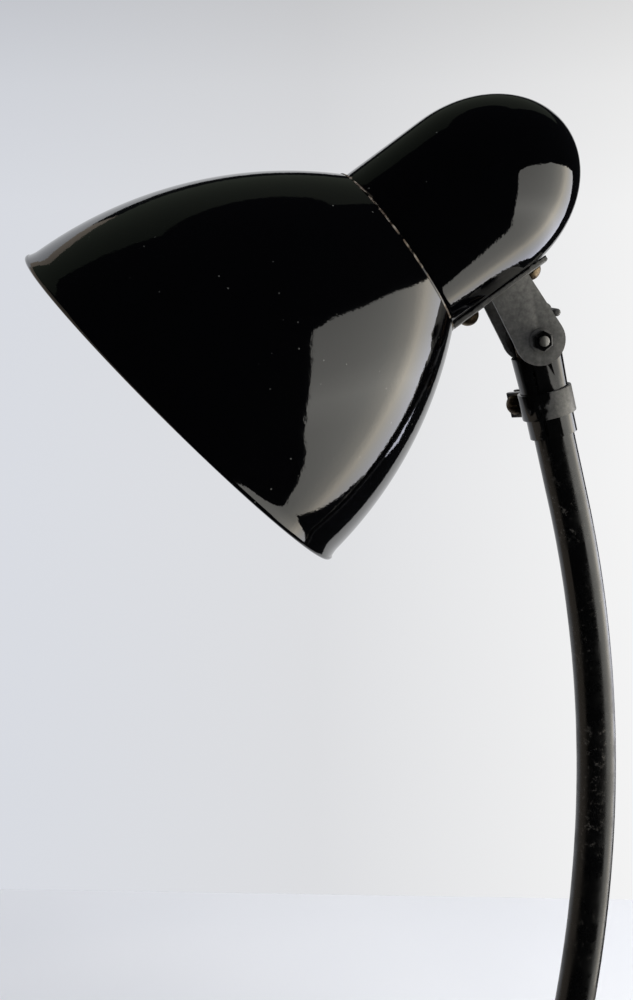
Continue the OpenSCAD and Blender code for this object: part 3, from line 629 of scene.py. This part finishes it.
def worn_black(name, bare, amount, roughness):
    """Black japan worn through to grey iron where the noise and the "edge" attribute are high."""
    made, tree, shader, place = finish_of(name, "#080808", roughness)
    edge = add(tree, "ShaderNodeAttribute", {}, attribute_name="edge").outputs["Fac"]
    cloud = grain(tree, place, 2.6, 6, 0.68)
    lifted = add(tree, "ShaderNodeMath", {0: edge, 1: amount}, operation="MULTIPLY").outputs[0]
    total = add(tree, "ShaderNodeMath", {0: cloud, 1: lifted}, operation="ADD").outputs[0]
    wear = ramp(tree, total, (0.62, 0.0), (0.84, 1.0))
    iron = ramp(tree, grain(tree, place, 0.9, 4, 0.7), (0.3, "#474643"), (0.55, bare), (0.8, "#706e68"))
    tree.links.new(mix(tree, wear, linear("#080808"), iron), shader.inputs["Base Color"])
    tree.links.new(ramp(tree, wear, (0, roughness), (1, 0.5)), shader.inputs["Roughness"])
    tree.links.new(ramp(tree, wear, (0.2, 0.0), (1, 0.25)), shader.inputs["Metallic"])
    bumps(tree, shader, (wear, -0.01), (grain(tree, place, 0.7, 3), 0.012))
    return made


worn_iron = worn_black("worn_japanned_iron", "#5c5b58", 0.7, 0.1)


def camera_right_grey(co):
    """The clamp band turns to grey iron on its side toward the camera's right."""
    return max(0.0, min(1.0, ((co - pivot).dot(across) - 4.5 * mm) / (3 * mm)))


dressed("knuckle_sleeve", "knuckle", "worn_iron", worn_iron, bevel=0.3, edge=lambda co: 0.0)
dressed("clamp_band", "knuckle", "worn_iron", worn_iron, bevel=0.3, edge=camera_right_grey)
old_brass = brass_of("tarnished_brass", "#7c6d57", "#463b30", 0.4, 0.44)
dressed("clamp_screw", "knuckle", "tarnished_brass", old_brass, bevel=0.15)
dressed("clamp_nut", "knuckle", "zinc_steel", zinc, bevel=0.15)
dressed("friction_washers", "knuckle", "zinc_steel", zinc, bevel=0.1)
dressed("pivot_spacer", "knuckle", "zinc_steel", zinc, bevel=0.1)
lead = dressed("joint_flex", "knuckle", "braided_flex", braided, bevel=0.3)
lead.parent = None
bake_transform(lead)


# ---- Pivot and saddle ----
# Folded saddle plate, screwed to the cover, whose two ears straddle the
# knuckle. A bolt, washers and nut pinch them, and a pin stops the tilt.
cover_r = 34.8 * mm
pivot_t, ear_drop, touch = 25.6 * mm, 23.6 * mm, 0.02 * mm
head_tilt, head_swivel = radians(21.5), radians(-23.7)
at_head = (
    Matrix.Translation(pivot) @ Matrix.Rotation(-top_lean, 4, "Y") @ Matrix.Rotation(head_swivel, 4, "Z")
    @ Matrix.Rotation(-head_tilt, 4, "Y") @ Matrix.Translation((-pivot_t, 0, cover_r + ear_drop))
)


def ear_wear(co):
    """The ears are rubbed to grey iron, up to the band that lies on the cover."""
    place = at_head.inverted() @ co
    rise = place.z + cover_r + ear_drop
    return max(0.0, min(1.0, (25 * mm - rise) / (0.8 * mm))) if abs(place.y) > 9 * mm else 0.0


steel = plated("bright_pivot_steel", "#b9b8b4", "#55524c", 0.34)
dressed("saddle_bracket", "head", "worn_iron", worn_iron, bevel=0.3, edge=ear_wear)
dressed("pivot_bolt", "head", "zinc_steel", steel, bevel=0.15)
dressed("pivot_nut", "head", "worn_iron", worn_iron, bevel=0.3, edge=lambda co: 0.0)
dressed("pivot_washers", "head", "worn_iron", worn_iron, bevel=0.12, edge=lambda co: 0.6)
dressed("stop_pin", "head", "worn_iron", worn_iron, bevel=0.2, edge=lambda co: 1.0)
dressed("saddle_screws", "head", "tarnished_brass", old_brass, bevel=0.15)
dressed("saddle_nuts", "head", "zinc_steel", zinc, bevel=0.15)

rubber, tree, shader, place = finish_of("perished_black_rubber", "#141414", 0.62)
bloom = ramp(tree, grain(tree, place, 1.5, 4), (0.4, "#101010"), (0.75, "#2c2b29"))
tree.links.new(bloom, shader.inputs["Base Color"])
bumps(tree, shader, (grain(tree, place, 0.5, 4), 0.03))
dressed("flex_grommet", "head", "rubber", rubber, bevel=0.25)


# ---- Lampholder cover ----
# Spun steel cup with a domed end, enamelled black, that closes the back of
# the shade and hides the lampholder.
cover_l, dome_l, sheet_t = 36.2 * mm, 43.8 * mm, 1.0 * mm
along_cover = at_head @ Matrix.Rotation(pi / 2, 4, "Y")


def near_neck(co):
    """High on the sheet edge where the cover meets the shade."""
    place = at_head.inverted() @ co
    return 0.9 * max(0.0, 1 - abs(place.x - 0.6 * mm) / (2.2 * mm))


enamel = glossy_black("baked_black_enamel", "#030304", 0.03, 0.9, 0.017)


def dome(r, length, count=40):
    """A quarter ellipse from the cover's straight part to its tip."""
    return [(r * cos(pi / 2 * i / count), cover_l + length * sin(pi / 2 * i / count)) for i in range(count + 1)]


cover_inner = cover_r - sheet_t
outer = cover_r - touch
outline = [(cover_inner, 0), (outer - 0.2 * mm, 0), (outer, 0.2 * mm)]
outline += [(outer, cover_l * i / 12) for i in range(1, 12)] + dome(outer, dome_l)
outline += dome(cover_inner, dome_l - sheet_t)[::-1] + [(cover_inner, cover_l * 0.5)]
cover = revolve("lampholder_cover_piece", outline, 192, along_cover, materials=[enamel])
smooth(cover, 50)
edge_weight(cover, near_neck)
settle(cover, "head", "black_enamel", "lampholder_cover")


# ---- Shade ----
# Spun steel bell with a long crown curve, its mouth cut at a slant and its
# rim turned out and rolled. Enamelled black outside and white inside.
shade_arc_r, shade_belly, mouth_s, mouth_cut = 164 * mm, 110.5 * mm, 99.5 * mm, radians(8.5)
rim_r, flare, flare_l = 1.5 * mm, 1.0 * mm, 4.6 * mm
neck_step = 0.8 * mm
neck_r, web_r = cover_r + sheet_t + neck_step, 20.2 * mm
arc_k = sqrt(shade_arc_r ** 2 - shade_belly ** 2) - neck_r


def shade_r(s):
    """Outer radius of the shade, s along its axis from the neck."""
    return sqrt(shade_arc_r ** 2 - (shade_belly - s) ** 2) - arc_k


mouth_top = mouth_s + shade_r(mouth_s) * tan(mouth_cut)
mouth_low = mouth_s - shade_r(mouth_s) * tan(mouth_cut)
mouth_mid = (mouth_top + mouth_low) / 2
mouth_rise = (shade_r(mouth_top) - shade_r(mouth_low)) / 2
mouth_slope = (mouth_top - mouth_low) / (shade_r(mouth_top) + shade_r(mouth_low))


def mouth_at(turn):
    """How far along the axis the mouth is, at a turn round it."""
    s = mouth_s
    for _ in range(12):
        s = mouth_mid + (shade_r(s) * sin(turn) - mouth_rise) * mouth_slope
    return s


def shade_line(turn):
    """The shade's closed section at one turn, as (s, radius, material, edge) points."""
    end = mouth_at(turn) + 0.8 * mm
    lip = 0.8 * mm
    made = [(0.0, web_r, 0, 0.0), (0.0, cover_r + touch, 0, 0.0), (-0.9 * mm, cover_r + touch, 0, 1.0)]
    for i in range(6):
        a = pi / 2 * i / 5
        made.append((-0.9 * mm + lip * (1 - sin(a)), neck_r - lip * (1 - cos(a)), 0, 1.0))

    def out(s):
        t = max(0.0, 1 - (end - s) / flare_l)
        return shade_r(s) + flare * t ** 1.7

    rows = 70
    for i in range(1, rows + 1):
        s = (end - 0.7 * mm) * (i / rows)
        made.append((s, out(s), 0, max(0.75 * (1 - s / (2.5 * mm)), 0.72 - (end - s) / (5 * mm))))
    middle = Vector((end - 0.35 * mm, out(end) - rim_r * 0.7))
    for i in range(11):
        a = radians(115 - 250 * i / 10)
        made.append((middle.x + rim_r * 0.75 * cos(a), middle.y + rim_r * 0.75 * sin(a), 0, 0.62))
    for i in range(rows, 0, -1):
        s = sheet_t + (end - 1.3 * mm - sheet_t) * (i / rows)
        made.append((s, out(s) - sheet_t, 1, max(0.0, 0.6 - (end - s) / (5 * mm))))
    return made + [(sheet_t, cover_r - 1 * mm, 1, 0.0), (sheet_t, web_r, 1, 0.0)]


inside_enamel, tree, shader, place = finish_of("white_reflector_enamel", "#e9e6dc", 0.28, coat=0.3)
warm = ramp(tree, grain(tree, place, 18, 4), (0.35, "#ece9e1"), (0.75, "#dcd4bf"))
chip = add(tree, "ShaderNodeAttribute", {}, attribute_name="edge").outputs["Fac"]
chip = add(tree, "ShaderNodeMath", {0: grain(tree, place, 2.2, 5, 0.7), 1: chip}, operation="MULTIPLY").outputs[0]
chip = ramp(tree, chip, (0.36, 0.0), (0.42, 1.0))
tree.links.new(mix(tree, chip, warm, linear("#5b4029")), shader.inputs["Base Color"])
bumps(tree, shader, (grain(tree, place, 9, 1), 0.05), (grain(tree, place, 1.6, 2), 0.01))

turns = 224
lines = [shade_line(2 * pi * j / turns) for j in range(turns)]
count = len(lines[0])
verts, faces, marks, wear = [], [], [], []
for j, line in enumerate(lines):
    for s, r, mark, edge in line:
        turn = 2 * pi * j / turns
        verts.append(at_head @ Vector((-s, r * cos(turn), r * sin(turn))))
        wear.append(edge)
for j in range(turns):
    for i in range(count):
        k, n = (i + 1) % count, (j + 1) % turns
        faces.append((j * count + i, j * count + k, n * count + k, n * count + i))
        marks.append(lines[0][i][2])
shade = mesh_piece("shade_piece", verts, faces, enamel, inside_enamel)
for face, mark in zip(shade.data.polygons, marks):
    face.material_index = mark
layer = shade.data.attributes.new("edge", "FLOAT", "POINT")
layer.data.foreach_set("value", wear)
work = bmesh.new()
work.from_mesh(shade.data)
bmesh.ops.recalc_face_normals(work, faces=work.faces)
work.to_mesh(shade.data)
work.free()
smooth(shade, 60)
settle(shade, "head", "black_enamel", "shade")


# ---- Lampholder and bulb ----
# Bakelite skirted holder with a porcelain core and a brass thread, hung on a
# strap inside the cover, and a clear bulb screwed into it.
dressed("lampholder_bracket", "head", "zinc_steel", zinc, bevel=0.2)
dressed("lampholder_shell", "head", "bakelite", bakelite, bevel=0.3)
dressed("lampholder_core", "head", "porcelain", porcelain, bevel=0.3)
dressed("lampholder_thread", "head", "brass", brass, bevel=0)
dressed("centre_contact", "head", "brass", brass, bevel=0.1)
dressed("holder_nut", "head", "zinc_steel", zinc, bevel=0.2)
dressed("shade_ring", "head", "bakelite", bakelite, bevel=0.25)
dressed("holder_wires", "head", "braided_flex", braided, bevel=0)
dressed("bulb_cap", "head", "brass", brass, bevel=0)
dressed("bulb_tip", "head", "zinc_steel", zinc, bevel=0.1)

tungsten, tree, shader, place = finish_of("oxidised_tungsten_and_glass_stem", "#8b8a86", 0.35, metallic=0.8)
tree.links.new(mix(tree, grain(tree, place, 1, 4), linear("#9a9994"), linear("#4d4b48")), shader.inputs["Base Color"])
bumps(tree, shader, (grain(tree, place, 0.4, 2), 0.01))
dressed("bulb_filament", "head", "zinc_steel", tungsten, bevel=0)

glass, tree, shader, place = finish_of("clear_soda_glass", "#f4f8f6", 0.02)
shader.inputs["Transmission Weight"].default_value = 1.0
shader.inputs["IOR"].default_value = 1.5
tree.links.new(ramp(tree, grain(tree, place, 12, 4), (0.4, 0.01), (0.8, 0.08)), shader.inputs["Roughness"])
bumps(tree, shader, (grain(tree, place, 14, 1), 0.04))
dressed("bulb_globe", "head", "glass", glass, bevel=0)
